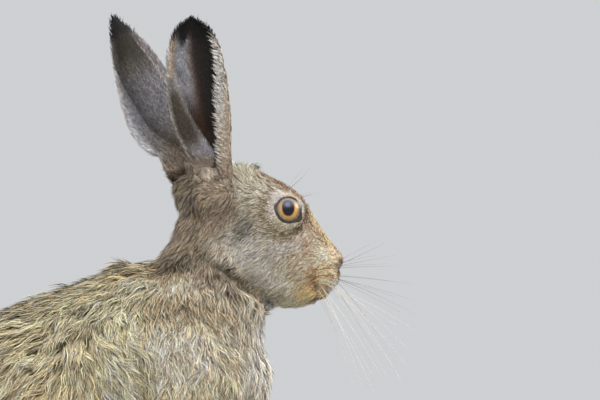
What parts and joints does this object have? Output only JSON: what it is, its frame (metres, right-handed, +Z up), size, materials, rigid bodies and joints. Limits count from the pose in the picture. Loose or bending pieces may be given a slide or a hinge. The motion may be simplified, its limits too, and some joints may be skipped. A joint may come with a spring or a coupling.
{
  "type": "brown hare model",
  "caption": "Life-size still model of a brown hare sitting on its haunches, forelegs straight and ears raised.",
  "frame": {"origin": "on the floor, under the middle of the model's box", "axes": "+X the way the hare looks, +Y its left side, +Z up"},
  "size_m": [0.4572, 0.1424, 0.4205],
  "materials": {
    "coat_brown": "grizzled yellow-brown fur",
    "coat_grey": "short grey-brown fur",
    "coat_rufous": "short buff-orange fur",
    "coat_white": "long white fur",
    "ear_grey": "very short grey-brown fur, black at the tips",
    "eye_amber": "wet and glossy",
    "lip_cream": "short cream fur with smooth whiskers"
  },
  "bodies": {
    "root": {"head": "coat_grey", "neck": "coat_rufous", "torso": "coat_brown", "tail": "coat_white", "ear_left": "ear_grey", "ear_right": "ear_grey", "eye_left": "eye_amber", "eye_right": "eye_amber", "whiskers_left": "lip_cream", "whiskers_right": "lip_cream", "foreleg_left": "coat_rufous", "foreleg_right": "coat_rufous", "forepaw_left": "coat_rufous", "forepaw_right": "coat_rufous", "thigh_left": "coat_brown", "thigh_right": "coat_brown", "hindfoot_left": "coat_rufous", "hindfoot_right": "coat_rufous"}
  },
  "joints": []
}
